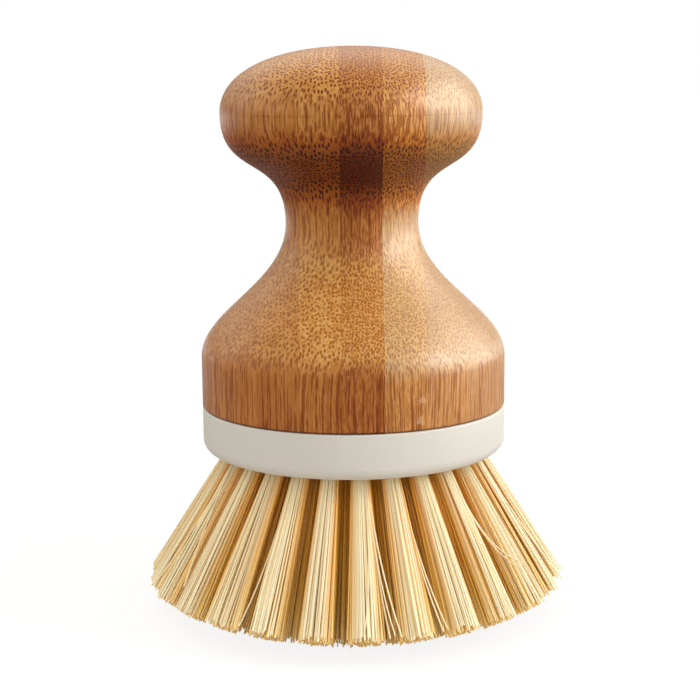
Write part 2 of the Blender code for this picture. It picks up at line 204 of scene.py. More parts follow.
def source(tree, kind, output):
    """A wire from a new node that has no inputs."""
    return Wire(tree.nodes.new("ShaderNode" + kind).outputs[output])


def plug(shader, name):
    """A shader's input by its name in lower case, such as base_color."""
    return shader.inputs[name.replace("_", " ").title().replace("Ior", "IOR")]


def coating(name, **values):
    """A Principled material with these values on its sockets, its shader, and the place in it."""
    material = bpy.data.materials.new(name)
    material.use_nodes = True
    shader = material.node_tree.nodes["Principled BSDF"]
    for socket, value in values.items():
        plug(shader, socket).default_value = value
    return material, shader, source(material.node_tree, "TexCoord", "Object")


def feed(shader, **wires):
    """Leads wires into the shader's sockets."""
    for socket, wire in wires.items():
        wire.tree.links.new(wire.socket, plug(shader, socket))


def relief(height, strength, distance):
    """A surface normal that follows a height."""
    inputs = {"Height": height, "Strength": strength, "Distance": distance}
    return height.node("Bump", {}, inputs)


def toned(colour, tone, pale_share=0.0):
    """A bamboo colour made lighter, or darker and redder, with a share of pale straw and painted
    sheen.
    """
    parts = []
    for part, power, pale in zip(colour, (1.0, 1.7, 2.3), STRAW_AND_SHEEN):
        parts.append(part * tone**power * (1.0 - pale_share) + pale * pale_share)
    return (*parts, 1.0)


def bamboo(number):
    """One lamina: straw ground, brown vessel bundles that run up the culm, and fine fibres."""
    tones, straws_and_sheen, marking, streaking, vessel_size, spacing = LAMINAE[number]
    wall_tone, shoulder_tone, top_tone, side_tone, under_tone = tones
    wall_straw_sheen, neck_straw_sheen, knob_straw_sheen = straws_and_sheen
    material, shader, place = coating(
        f"lacquered_bamboo_{number}",
        specular_ior_level=0.28,
        coat_weight=0.12,
        coat_roughness=0.20,
    )
    height = place.axis(2)
    shoulder = height.step(*SHOULDER_HEIGHTS)
    knob = height.step(*KNOB_HEIGHTS)
    rise = source(place.tree, "TexCoord", "Normal").axis(2)
    upright = (rise * rise).step(0.30, 0.02)
    under = rise.step(0.0, -0.4)
    flaws = place.stretched(1.1, 1.1, 0.8).noise(3.0)

    # Each lamina is cut from another part of the culm, and its grain sways a little
    culm = place.shifted((3.1 * number * MM, 7.7 * number * MM, 90.0 * number * MM))
    sway = culm.stretched(26, 26, 16).noise(1.0, output=1)
    grain = culm.shifted(sway.scaled(1.5 * MM, 1.5 * MM, 0.0))

    # Vessel bundles are dots where they are cut across, and broken lines on upright surfaces
    cells = {"Vector": grain.stretched(spacing, spacing, 1), "Scale": 1.0, "Randomness": 0.75}
    away = place.node("TexVoronoi", {"voronoi_dimensions": "2D"}, cells)
    kind = Wire(away.socket.node.outputs["Color"])
    depth = kind.node("SeparateColor", {}, {"Color": kind})
    broken = grain.stretched(0.5, 0.5, 2.2).noise(1.0).step(0.42, 0.60)
    vessel = (away + 0.04 * upright).step(vessel_size, vessel_size - 0.12)
    vessel = vessel * (0.8 + 0.2 * depth) * (1.0 - 0.55 * upright * broken)
    sheath = away.step(vessel_size - 0.04, vessel_size + 0.08) - away.step(0.52, 0.70)

    # Broad bands, fine fibres, ragged flames and dark lines all run along the grain
    bands = grain.stretched(2.2, 2.2, 160).noise(3.0, 0.6).step(0.40, 0.60)
    fibres = grain.stretched(0.32, 0.32, 10).noise(3.0, 0.65).step(0.42, 0.58)
    flames = grain.stretched(0.34, 0.34, 2.0).noise(2.0, 0.6).step(0.44, 0.56)
    lines = grain.stretched(0.56, 0.56, 13).noise(1.0).step(0.58, 0.62)
    ground = 0.5 + 0.45 * (bands - 0.5) + 0.40 * (fibres - 0.5) + 1.3 * streaking * (flames - 0.5)
    ground = ground + (0.40 * sheath - 0.12) * (1.0 - upright)
    dark = upright * (0.75 * lines + (streaking - 0.3) * knob * (1.0 - flames))

    def tinted(side_colour, top_colour, pale):
        """One of the lamina's colours, by height and by the way that the surface faces."""
        facing_up = knob.mixed(
            toned(top_colour, shoulder_tone, pale * neck_straw_sheen),
            toned(top_colour, top_tone, pale * knob_straw_sheen),
        )
        # The neck's upright sides take 2.2 times the straw: on laminae 6 to 8 this is a painted
        # highlight
        sides = knob.mixed(
            toned(side_colour, 0.96 * side_tone, 2.2 * pale * neck_straw_sheen),
            toned(side_colour, side_tone, pale * knob_straw_sheen),
        )
        sides = shoulder.mixed(toned(side_colour, wall_tone, pale * wall_straw_sheen), sides)
        return upright.mixed(facing_up, sides)

    light, middle, brown = (tinted(*colours) for colours in BAMBOO_COLOURS)
    ground = dark.mixed(ground.mixed(middle, light), brown)
    marks = marking * (1.0 - 0.40 * shoulder * (1.0 - knob))
    colour = (vessel * marks).mixed(ground, brown)

    inner, outer = WIDEST_LINE_EDGES
    widest_line = height.step(KNOB[1] - outer, KNOB[1] - inner)
    widest_line = widest_line - height.step(KNOB[1] + inner, KNOB[1] + outer)
    colour = (widest_line * flaws.step(0.45, 0.60)).mixed(colour, WIDEST_LINE_COLOUR, "MULTIPLY")
    if number == NICKED_LAMINA:
        for nick in NICKS:
            ragged = place.distance(nick) + 2.4 * MM * (flaws - 0.5)
            colour = (0.35 * ragged.step(*NICK_EDGES)).mixed(colour, NICK_COLOUR)

    # Painted shade under the knob and on other surfaces that face down, deepest on the vessels and
    # where the surface is level
    colour = under.mixed(colour, toned(UNDER_SHADE, 0.5 + 0.5 * under_tone), "MULTIPLY")
    colour = (vessel * rise.step(0.0, -0.5)).mixed(colour, VESSEL_SHADE, "MULTIPLY")
    colour = rise.step(-0.2, -0.8).mixed(colour, toned(HOLLOW_SHADE, under_tone), "MULTIPLY")
    feed(
        shader,
        base_color=colour,
        roughness=0.30 + 0.10 * vessel + 0.06 * fibres + 0.35 * under,
        normal=relief(0.35 * fibres - vessel, 0.50, 0.07 * MM),
    )
    return material


def rounded(radius, height, arris, start, end):
    """Points round a small arc about (radius, height), between two angles in degrees."""
    points = []
    for index in range(ARC_STEPS + 1):
        angle = math.radians(start + (end - start) * index / ARC_STEPS)
        points.append((radius + arris * math.cos(angle), height + arris * math.sin(angle)))
    return points


def curve(start, start_handle, end_handle, end):
    """Points on a curve of the outline, without its first."""
    corners = [Vector((*corner, 0.0)) for corner in (start, start_handle, end_handle, end)]
    return [(spot.x, spot.y) for spot in interpolate_bezier(*corners, CURVE_POINTS)[1:]]


def handle_outline():
    """The turned form from the crown down to the foot, and up into the socket's pocket."""
    crown = (0.0, CROWN_HEIGHT)
    crown_out = (CROWN_HANDLES[0], CROWN_HEIGHT)
    above_knob = (KNOB[0], KNOB[1] + CROWN_HANDLES[1])
    below_knob = (KNOB[0], KNOB[1] - WAIST_HANDLES[0])
    above_neck = (NECK[0], NECK[1] + WAIST_HANDLES[1])
    below_neck = (NECK[0], NECK[1] - SHOULDER_HANDLES[0])
    wall_up = (BASE_RADIUS, WALL_TOP + SHOULDER_HANDLES[1])
    points = [crown]
    points += curve(crown, crown_out, above_knob, KNOB)
    points += curve(KNOB, below_knob, above_neck, NECK)
    points += curve(NECK, below_neck, wall_up, (BASE_RADIUS, WALL_TOP))
    points += rounded(BASE_RADIUS - BASE_ARRIS, BASE_HEIGHT + BASE_ARRIS, BASE_ARRIS, 0, -90)
    points += [(POCKET_RADIUS, BASE_HEIGHT), (POCKET_RADIUS, POCKET_ROOF), (0.0, POCKET_ROOF)]
    return points


def turned(outline, closed=False, steps=LATHE_STEPS):
    """Spins an outline of (radius, height) points round the brush's axis."""
    bm = bmesh.new()
    verts = [bm.verts.new((radius, 0.0, height)) for radius, height in outline]
    edges = [bm.edges.new(pair) for pair in zip(verts, verts[1:])]
    if closed:
        edges.append(bm.edges.new((verts[-1], verts[0])))
    bmesh.ops.spin(
        bm,
        geom=verts + edges,
        cent=(0.0, 0.0, 0.0),
        axis=(0.0, 0.0, 1.0),
        angle=math.tau,
        steps=steps,
        use_merge=True,
    )
    bmesh.ops.remove_doubles(bm, verts=bm.verts, dist=MERGE_DISTANCE)
    bmesh.ops.recalc_face_normals(bm, faces=bm.faces)
    return bm


def sawn(bm, x, keep_right):
    """Cuts a lamina's side at a plane of constant X, with crisp edges round the cut."""
    bmesh.ops.bisect_plane(
        bm,
        geom=bm.verts[:] + bm.edges[:] + bm.faces[:],
        dist=MERGE_DISTANCE,
        plane_co=(x, 0.0, 0.0),
        plane_no=(1.0, 0.0, 0.0),
        clear_inner=keep_right,
        clear_outer=not keep_right,
    )
    rim = [edge for edge in bm.edges if edge.is_boundary]
    for edge in rim:
        edge.smooth = False
    bmesh.ops.holes_fill(bm, edges=rim, sides=0)


def smooth(mesh, sharp):
    """Shades a mesh smooth, apart from edges that turn more than this many degrees."""
    mesh.shade_smooth()
    mesh.set_sharp_from_angle(angle=math.radians(sharp))


def fitted(name, mesh, material, body):
    """Makes a mesh a piece of the brush that rides on a body."""
    mesh.materials.append(material)
    piece = bpy.data.objects.new(name, mesh)
    bpy.context.scene.collection.objects.link(piece)
    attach(piece, body)
    return piece


def made(name, bm, material, body):
    """Makes a bmesh a piece of the brush that rides on a body."""
    mesh = bpy.data.meshes.new(name)
    bm.to_mesh(mesh)
    bm.free()
    smooth(mesh, SHARP_ANGLE)
    return fitted(name, mesh, material, body)


for number in LAMINAE:
    left = MIDDLE_GLUE_LINE + (number - 5) * LAMINA_WIDTH
    right = left + LAMINA_WIDTH
    lacquered = bamboo(number)
    slot = "bamboo_dark" if number in DARK_LAMINAE else "bamboo_light"
    for part in ("", "_base", "_knob"):
        node = f"bamboo_strip_{number}{part}"
        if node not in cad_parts:
            continue
        bm = turned(handle_outline())
        if number > 1:
            sawn(bm, left + GLUE_FILM / 2, True)
        if number < len(LAMINAE):
            sawn(bm, right - GLUE_FILM / 2, False)
        if part:
            spare = [vert for vert in bm.verts if (vert.co.z > NECK[1]) == (part == "_base")]
            bmesh.ops.delete(bm, geom=spare, context="VERTS")
        bmesh.ops.recalc_face_normals(bm, faces=bm.faces)
        strip = made(f"bamboo_lamina_{number}{part}", bm, lacquered, "handle")
        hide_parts(node)

# Threaded socket
# A nylon cup is moulded with a coarse inner thread and glued into the handle's pocket.
# Two grooves round its outside hold the glue.

SOCKET_RADIUS = 9.6 * MM
SOCKET_TOP = BASE_HEIGHT + 10.1 * MM
SOCKET_CEILING = BASE_HEIGHT + 8.6 * MM
GLUE_GROOVES = ((2.02 * MM, 4.04 * MM), (6.06 * MM, 8.08 * MM))
GLUE_GROOVE_DEPTH = 0.5 * MM
STUD_RADIUS = 7.0 * MM
THREAD_PITCH = 3.0 * MM
THREAD_DEPTH = 0.8 * MM
THREAD_CLEARANCE = 0.3 * MM
THREAD_RUN_OUT = 0.9 * MM
THREAD_ROWS = 48
THREAD_COLUMNS = 120


def limited(value):
    return max(0.0, min(1.0, value))


def turns(count):
    """The angles of so many even steps round a circle."""
    return [math.tau * index / count for index in range(count)]


def thread(radius, foot, top, depth):
    """Side wall of a screw thread as rows of points, run out smoothly at both ends.

    Depth is how far the thread stands out from the radius, or in from it where it is negative.
    """
    grid = []
    for row in range(THREAD_ROWS + 1):
        height = foot + (top - foot) * row / THREAD_ROWS
        fade = limited(min(height - foot, top - height) / THREAD_RUN_OUT)
        ring = []
        for turn in turns(THREAD_COLUMNS):
            wave = 0.5 + 0.5 * math.cos(math.tau * height / THREAD_PITCH - turn)
            reach = radius + depth * wave * fade
            ring.append((reach * math.cos(turn), reach * math.sin(turn), height))
        grid.append(ring)
    return grid


def bridge(bm, low, high):
    """Joins two closed rings of as many verts with a band of faces."""
    for index in range(len(low)):
        after = (index + 1) % len(low)
        bm.faces.new((low[index], low[after], high[after], high[index]))


def add_wall(bm, grid):
    """Skins rows of points into a wall and gives its first and last rows of verts."""
    rows = [[bm.verts.new(spot) for spot in ring] for ring in grid]
    for low, high in zip(rows, rows[1:]):
        bridge(bm, low, high)
    return rows[0], rows[-1]


def add_ring(bm, rim, radius, height):
    """Joins a rim of verts to a new round rim, and gives the new one."""
    spots = [(radius * math.cos(turn), radius * math.sin(turn), height) for turn in turns(len(rim))]
    new = [bm.verts.new(spot) for spot in spots]
    bridge(bm, rim, new)
    return new


nylon, shader, place = coating("socket_nylon")
mottle = place.stretched(2.5, 2.5, 2.5).noise(3.0)
feed(
    shader,
    base_color=mottle.mixed((0.55, 0.55, 0.53, 1.0), (0.66, 0.66, 0.63, 1.0)),
    roughness=0.40 + 0.12 * mottle,
    normal=relief(mottle, 0.06, 0.05 * MM),
)

bm = bmesh.new()
inner_thread = thread(STUD_RADIUS + THREAD_CLEARANCE, BASE_HEIGHT, SOCKET_CEILING, -THREAD_DEPTH)
foot, ceiling = add_wall(bm, inner_thread)
bm.faces.new(ceiling)
edge = add_ring(bm, foot, SOCKET_RADIUS, BASE_HEIGHT)
for low, high in GLUE_GROOVES:
    edge = add_ring(bm, edge, SOCKET_RADIUS, BASE_HEIGHT + low)
    edge = add_ring(bm, edge, SOCKET_RADIUS - GLUE_GROOVE_DEPTH, BASE_HEIGHT + low)
    edge = add_ring(bm, edge, SOCKET_RADIUS - GLUE_GROOVE_DEPTH, BASE_HEIGHT + high)
    edge = add_ring(bm, edge, SOCKET_RADIUS, BASE_HEIGHT + high)
edge = add_ring(bm, edge, SOCKET_RADIUS, SOCKET_TOP)
bm.faces.new(edge)
bmesh.ops.recalc_face_normals(bm, faces=bm.faces)
cup = made("socket_cup", bm, nylon, "handle")
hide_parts("threaded_socket")

# Seal washer
# A flat ring of soft dark rubber lies in a groove round the stud's foot.
# Its edges are slightly rounded by the moulding.

BLOCK_TOP = 38.0 * MM
WASHER_INNER = 7.3 * MM
WASHER_OUTER = 10.3 * MM
WASHER_FOOT = BLOCK_TOP - 1.2 * MM
WASHER_ARRIS = 0.2 * MM
WASHER_STEPS = 96

rubber, shader, place = coating("seal_rubber")
dust = place.stretched(1.2, 1.2, 1.2).noise(4.0)
feed(
    shader,
    base_color=dust.mixed((0.020, 0.020, 0.020, 1.0), (0.045, 0.044, 0.042, 1.0)),
    roughness=0.62 + 0.16 * dust,
    normal=relief(dust, 0.10, 0.04 * MM),
)

outline = []
for radius, height, start, end in (
    (WASHER_OUTER - WASHER_ARRIS, BLOCK_TOP - WASHER_ARRIS, 90, 0),
    (WASHER_OUTER - WASHER_ARRIS, WASHER_FOOT + WASHER_ARRIS, 0, -90),
    (WASHER_INNER + WASHER_ARRIS, WASHER_FOOT + WASHER_ARRIS, -90, -180),
    (WASHER_INNER + WASHER_ARRIS, BLOCK_TOP - WASHER_ARRIS, 180, 90),
):
    outline += rounded(radius, height, WASHER_ARRIS, start, end)
bm = turned(outline, closed=True, steps=WASHER_STEPS)
washer = made("rubber_washer", bm, rubber, "seal")
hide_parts("seal_washer")

# Tufting block
# The head's body is moulded in an off-white plastic with a satin surface. Its lower edge is
# rounded, a hole is drilled for each tuft, and a threaded stud stands on its top.

BLOCK_FOOT = 29.7 * MM
LOWER_ARC = 2.2 * MM
UPPER_ARRIS = 0.35 * MM
GROOVE_OUTER = 10.6 * MM
GROOVE_FLOOR = BLOCK_TOP - 1.5 * MM
STUD_TOP = 46.0 * MM
STUD_CORE = STUD_RADIUS - THREAD_DEPTH
STUD_CHAMFER = 0.6 * MM
THREAD_FOOT = GROOVE_FLOOR + 0.3 * MM
THREAD_TOP = STUD_TOP - 0.7 * MM
THREAD_SEAT = STUD_CORE - 0.3 * MM
HOLE_RADIUS = 1.9 * MM
HOLE_DEPTH = 4.2 * MM
DRILL_OVERRUN = 3.0 * MM
DRILL_SIDES = 20
FRONT_ANGLE = math.radians(2.75)
TRIM_FLAT = 20.0 * MM
TRIM_ARC = 33.0 * MM

# A row of tufts: the circles that its roots and its tips stand on, how far it is turned, as a
# share of the angle from tuft to tuft, and the fibres in each tuft
Row = namedtuple("Row", "tufts root_circle tip_circle shift fibres")
OUTER_ROW = Row(26, 21.6 * MM, 36.2 * MM, 0.0, 200)
INNER_ROWS = {
    "second_row_tufts": [Row(20, 15.8 * MM, 27.4 * MM, 0.5, 110)],
    "third_row_tufts": [Row(14, 11.0 * MM, 19.0 * MM, 0.5, 100)],
    "middle_tufts": [Row(8, 6.0 * MM, 10.4 * MM, 0.5, 100), Row(1, 0.0, 0.0, 0.0, 100)],
}


def trim_height(radius):
    """Height of the trimmed ends: flat in the middle and on an arc towards the rim."""
    if radius <= TRIM_FLAT:
        return 0.0
    return TRIM_ARC - math.sqrt(TRIM_ARC**2 - (radius - TRIM_FLAT) ** 2)


class Tuft:
    """A tuft's own axis, which leans out from its hole, and the two directions across it."""

    def __init__(self, root_circle, tip_circle, azimuth):
        outward = Vector((math.cos(azimuth), math.sin(azimuth), 0.0))
        self.root = outward * root_circle + Vector((0.0, 0.0, BLOCK_FOOT))
        tip = outward * tip_circle + Vector((0.0, 0.0, trim_height(tip_circle)))
        self.length = (tip - self.root).length
        self.axis = (tip - self.root).normalized()
        self.side = Vector((0.0, 0.0, 1.0)).cross(outward)
        self.out = self.axis.cross(self.side)

    def point(self, along, out, side):
        return self.root + self.axis * along + self.out * out + self.side * side


def tufts_of(row):
    """The tufts of a row, counted from the front towards +X."""
    for index in range(row.tufts):
        azimuth = -math.pi / 2 + FRONT_ANGLE + math.tau * (index + row.shift) / row.tufts
        yield Tuft(row.root_circle, row.tip_circle, azimuth)


plastic, shader, place = coating("satin_white_plastic", specular_ior_level=0.25)
cloud = place.stretched(9.0, 9.0, 9.0).noise(2.0)
pores = place.stretched(0.35, 0.35, 0.35).noise(2.0)
feed(
    shader,
    base_color=cloud.mixed((0.76, 0.72, 0.655, 1.0), (0.79, 0.75, 0.695, 1.0)),
    roughness=0.48 + 0.08 * pores,
    normal=relief(pores, 0.05, 0.03 * MM),
)

outline = [
    (0.0, STUD_TOP),
    (STUD_CORE - STUD_CHAMFER, STUD_TOP),
    (STUD_CORE, STUD_TOP - STUD_CHAMFER),
    (STUD_CORE, GROOVE_FLOOR),
    (GROOVE_OUTER, GROOVE_FLOOR),
    (GROOVE_OUTER, BLOCK_TOP),
]
outline += rounded(BASE_RADIUS - UPPER_ARRIS, BLOCK_TOP - UPPER_ARRIS, UPPER_ARRIS, 90, 0)
outline += rounded(BASE_RADIUS - LOWER_ARC, BLOCK_FOOT + LOWER_ARC, LOWER_ARC, 0, -90)
outline += [(0.0, BLOCK_FOOT)]
block = made("tuft_block", turned(outline), plastic, "head")

bm = bmesh.new()
for row in [OUTER_ROW] + sum(INNER_ROWS.values(), []):
    for tuft in tufts_of(row):
        rings = []
        for along in (-HOLE_DEPTH, DRILL_OVERRUN):
            ring = []
            for turn in turns(DRILL_SIDES):
                spot = tuft.point(along, HOLE_RADIUS * math.cos(turn), HOLE_RADIUS * math.sin(turn))
                ring.append(bm.verts.new(spot))
            rings.append(ring)
        bridge(bm, *rings)
        for ring in rings:
            bm.faces.new(ring)
bmesh.ops.recalc_face_normals(bm, faces=bm.faces)
mesh = bpy.data.meshes.new("hole_drill")
bm.to_mesh(mesh)
bm.free()
drill = bpy.data.objects.new("hole_drill", mesh)
bpy.context.scene.collection.objects.link(drill)
drilled = block.modifiers.new("holes", "BOOLEAN")
drilled.operation = "DIFFERENCE"
drilled.object = drill
bpy.context.view_layer.update()
shape = bpy.data.meshes.new_from_object(block.evaluated_get(bpy.context.evaluated_depsgraph_get()))
block.modifiers.clear()
block.data = shape
bpy.data.objects.remove(drill)
smooth(shape, SHARP_ANGLE)
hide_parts("tufting_block")

bm = bmesh.new()
foot, top = add_wall(bm, thread(STUD_CORE, THREAD_FOOT, THREAD_TOP, THREAD_DEPTH))
low = add_ring(bm, foot, THREAD_SEAT, THREAD_FOOT)
high = add_ring(bm, top, THREAD_SEAT, THREAD_TOP)
bridge(bm, low, high)
bmesh.ops.recalc_face_normals(bm, faces=bm.faces)
made("stud_thread", bm, plastic, "head")

# Bristle tufts
# Each tuft is a bunch of stiff cream-coloured plant fibres, folded in half and anchored in its
# hole. The fibres fan out, and all ends are trimmed together into a shallow bowl.

FIBRE_RADIUS = 0.15 * MM
FIBRE_SIDES = 4
FIBRE_SEGMENTS = 6
FIBRE_SHARP_ANGLE = 80
GOLDEN_ANGLE = 2.39996
ROOT_DEPTH = 2.0 * MM
ROOT_SPREAD = 1.42 * MM

# How many times as wide as its root a tuft is at its tips, and how its fibres gather in locks
TIP_SPREAD = 2.0
INNER_TIP_SPREAD = 2.7
LOCK_WIDTH = 1.1 * MM
LOCK_PULL = 0.6 * MM

# How much the fibres bow, and how far their ends lie off the trimmed surface, in millimetres
BOW = 0.16
TRIM_ERROR = (-0.70, 0.60)
LOWEST_END = 0.09 * MM

# Height below which a fibre's painted golden shade fades, and how much of it the fibres that stray
# get
SHADE_FADE = 8.0 * MM
STRAY_SHADE = 0.15
STRAY_POINTS = 12

# Both the random draws and the noise that gathers the locks start from this seed
SEED = 7


def plant_fibre():
    """Stiff cream fibre, with painted golden shade on a tuft's flanks and further in, deeper
    towards the root.
    """
    material, shader, place = coating("plant_fibre", specular_ior_level=0.15)
    which = source(place.tree, "NewGeometry", "Random Per Island")
    painted_shade = place.node("Attribute", {"attribute_name": "painted_shade"}, {}, 2)
    streak = place.stretched(0.5, 0.5, 5.0).noise(2.0)
    # Cream and gold both deepen towards the root: painted shade under the block
    up = place.axis(2).step(2 * MM, 27 * MM)
    cream = up.mixed((0.99, 0.87, 0.59, 1.0), (0.98, 0.82, 0.49, 1.0))
    shaded_gold = up.mixed((0.99, 0.59, 0.07, 1.0), (0.98, 0.46, 0.02, 1.0))
    colour = (0.8 * which * (0.5 + streak)).mixed(cream, (0.99, 0.92, 0.74, 1.0))
    feed(
        shader,
        base_color=painted_shade.mixed(colour, shaded_gold),
        roughness=0.45 + 0.16 * streak,
        normal=relief(streak, 0.05, 0.02 * MM),
    )
    return material


fibre = plant_fibre()


class Bunch:
    """Fibres gathered into one mesh, and how much painted golden shade each of its points gets."""

    def __init__(self):
        self.verts = []
        self.faces = []
        self.painted_shade = []


def ramp(value, start, end):
    """0 at the start, 1 at the end, and a straight line between them."""
    return limited((value - start) / (end - start))


def add_fibre(bunch, tuft, path, radius, turn, painted_shade):
    """Adds a thin rod with flat ends along a path. Its painted golden shade fades towards the
    trimmed ends.
    """
    first = len(bunch.verts)
    across = []
    for angle in turns(FIBRE_SIDES):
        angle = turn + angle
        across.append((tuft.out * math.cos(angle) + tuft.side * math.sin(angle)) * radius)
    for spot in path:
        bunch.verts.extend(spot + offset for offset in across)
        fade = 0.60 + 0.40 * min(1.0, spot.z / SHADE_FADE)
        bunch.painted_shade.extend([limited(painted_shade * fade)] * FIBRE_SIDES)
    last = first + (len(path) - 1) * FIBRE_SIDES
    for start in range(first, last, FIBRE_SIDES):
        for index in range(FIBRE_SIDES):
            low = start + index
            after = start + (index + 1) % FIBRE_SIDES
            bunch.faces.append((low, after, after + FIBRE_SIDES, low + FIBRE_SIDES))
    bunch.faces.append(tuple(range(first + FIBRE_SIDES - 1, first - 1, -1)))
    bunch.faces.append(tuple(range(last, last + FIBRE_SIDES)))


def strand_end(foot, aim, error):
    """Where a fibre drawn from foot through aim is cut off by the trimming."""
    low, high = 0.0, 2.0
    for _ in range(24):
        middle = (low + high) / 2
        spot = foot.lerp(aim, middle)
        if spot.z > max(LOWEST_END, trim_height(math.hypot(spot.x, spot.y)) + error):
            low = middle
        else:
            high = middle
    return foot.lerp(aim, low)


def add_tuft(bunch, tuft, fibres, chance, inner):
    """Adds a tuft's fibres, packed round at the root and drawn together in locks at the tips."""
    locks = Vector((chance.uniform(0, 50), chance.uniform(0, 50), chance.uniform(0, 50)))
    tip_spread = INNER_TIP_SPREAD if inner else TIP_SPREAD
    for index in range(fibres):
        share = math.sqrt((index + 0.5) / fibres)
        angle = index * GOLDEN_ANGLE + chance.uniform(-0.3, 0.3)
        out = ROOT_SPREAD * share * math.cos(angle)
        side = ROOT_SPREAD * share * math.sin(angle)
        pull = noise.noise_vector(locks + Vector((out, side, 0.0)) / LOCK_WIDTH)
        spread = tip_spread + 0.6 * chance.random() ** 9
        foot = tuft.point(-ROOT_DEPTH, out, side)
        tip_out = out * spread + pull.x * LOCK_PULL
        tip_side = side * spread + pull.y * LOCK_PULL
        aim = tuft.point(tuft.length, tip_out, tip_side)
        end = strand_end(foot, aim, chance.uniform(*TRIM_ERROR) * MM)
        bow_out = chance.gauss(0, BOW) * MM
        bow_side = chance.gauss(0, BOW) * MM
        path = []
        for step in range(FIBRE_SEGMENTS + 1):
            t = step / FIBRE_SEGMENTS
            bend = math.sin(math.pi * t) * t
            path.append(foot.lerp(end, t) + tuft.out * bow_out * bend + tuft.side * bow_side * bend)
        radius = FIBRE_RADIUS * chance.uniform(0.82, 1.15)
        # Painted golden shade: on a tuft's flanks, on its inner side, deep inside it, and on every
        # fibre of the inner rows
        flank = ramp(abs(side) / ROOT_SPREAD, 0.50, 0.95)
        behind = ramp(-out / ROOT_SPREAD, -0.35, 0.25)
        buried = ramp(share, 0.90, 0.65)
        painted_shade = max(0.9 * inner, 0.75 * flank, 0.9 * behind, 0.8 * buried) + chance.gauss(0, 0.08)
        add_fibre(bunch, tuft, path, radius, chance.uniform(0, math.tau), painted_shade)


def add_stray(bunch, tuft, bends, chance):
    """Adds a fibre that has bent out of its tuft, through bends of (along, out, side) in mm."""
    corners = [tuft.point(*(length * MM for length in bend)) for bend in bends]
    path = interpolate_bezier(*corners, STRAY_POINTS)
    add_fibre(bunch, tuft, path, FIBRE_RADIUS * 0.95, chance.uniform(0, math.tau), STRAY_SHADE)


def tuft_piece(name, node, bunch):
    """Makes a bunch a piece of the head that stands for a node of the frame."""
    mesh = bpy.data.meshes.new(name)
    mesh.from_pydata(bunch.verts, [], bunch.faces)
    mesh.attributes.new("painted_shade", "FLOAT", "POINT").data.foreach_set("value", bunch.painted_shade)
    smooth(mesh, FIBRE_SHARP_ANGLE)
    piece = fitted(name, mesh, fibre, "head")
    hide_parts(node)


# Fibres that have bent out of their tufts, by the tuft's number: start, two handles, end
STRAYS = {
    1: [
        ((-2, 0.6, 1.0), (9, 0.9, 1.4), (20, 1.5, 3.2), (29.0, 1.8, 5.9)),
        ((-2, 0.9, 0.8), (10, 1.2, 1.2), (21, 1.6, 2.6), (28.7, 1.7, 4.8)),
        ((-2, 0.2, 1.2), (12, 0.6, 1.5), (22, 1.2, 2.6), (29.1, 1.4, 4.0)),
        ((-2, 1.3, 0.5), (12, 2.2, 1.2), (22, 2.9, 0.9), (28.8, 2.9, -0.5)),
    ],
    2: [
        ((-2, 0.5, 1.1), (12, 0.8, 1.6), (20, 1.0, 2.9), (28.6, 1.2, 5.3)),
        ((-2, 0.8, 0.9), (13, 1.0, 1.5), (21, 1.2, 2.6), (28.9, 1.4, 4.4)),
    ],
    4: [
        ((-2, 1.2, 0.3), (10, 1.5, 0.8), (17, 1.6, 1.5), (21.5, 3.0, 7.5)),
        ((-2, 1.1, 0.1), (9, 1.6, 0.6), (17, 1.8, 1.2), (22.5, 3.2, 6.4)),
    ],
    6: [((-2, 1.2, 0.2), (10, 1.8, 0.2), (20, 2.8, 0.3), (28.6, 4.4, 0.3))],
    12: [((-2, 0.6, -1.0), (12, 1.2, -1.5), (20, 1.8, -3.0), (28.6, 2.2, -5.2))],
    17: [((-2, 0.8, 0.9), (10, 1.4, 1.3), (18, 2.0, 2.8), (27.8, 2.6, 5.6))],
    22: [
        ((-2, 1.3, -0.3), (4, 2.2, 0.5), (14, 2.6, 3.5), (25.0, 2.6, 7.5)),
        ((-2, 1.1, 0.4), (12, 1.9, 0.3), (20, 2.8, 0.2), (28.8, 4.0, 0.0)),
        ((-2, 1.2, -0.2), (12, 2.0, -0.3), (20, 3.0, -0.3), (28.2, 4.6, -0.5)),
    ],
    25: [((-2, 0.8, -1.0), (12, 1.0, -1.6), (21, 1.2, -2.6), (28.6, 1.4, -4.8))],
}

chance = random.Random(SEED)
noise.seed_set(SEED)
for number, tuft in enumerate(tufts_of(OUTER_ROW), start=1):
    bunch = Bunch()
    add_tuft(bunch, tuft, OUTER_ROW.fibres, chance, 0.0)
    for bends in STRAYS.get(number, ()):
        add_stray(bunch, tuft, bends, chance)
    tuft_piece(f"outer_bristles_{number:02d}", f"outer_tuft_{number:02d}", bunch)

for node, rows in INNER_ROWS.items():
    bunch = Bunch()
    for row in rows:
        for tuft in tufts_of(row):
            add_tuft(bunch, tuft, row.fibres, chance, 1.0)
    tuft_piece(node.replace("tufts", "bristles"), node, bunch)

# Studio
# The brush stands on a white floor in a white room. A large soft box hangs at its right and a
# much weaker one at its left, and the room fills in the rest.

FLOOR_REACH = 4.0
BRUSH_MIDDLE = Vector((0.0, 0.0, 55.0 * MM))


def grey(level):
    return (level, level, level, 1.0)


def ray_kinds(tree):
    """Three wires, which are 1 for a ray from the camera, a glossy one and a transmitted one."""
    path = tree.nodes.new("ShaderNodeLightPath")
    names = ("Is Camera Ray", "Is Glossy Ray", "Is Transmission Ray")
    return [Wire(path.outputs[name]) for name in names]


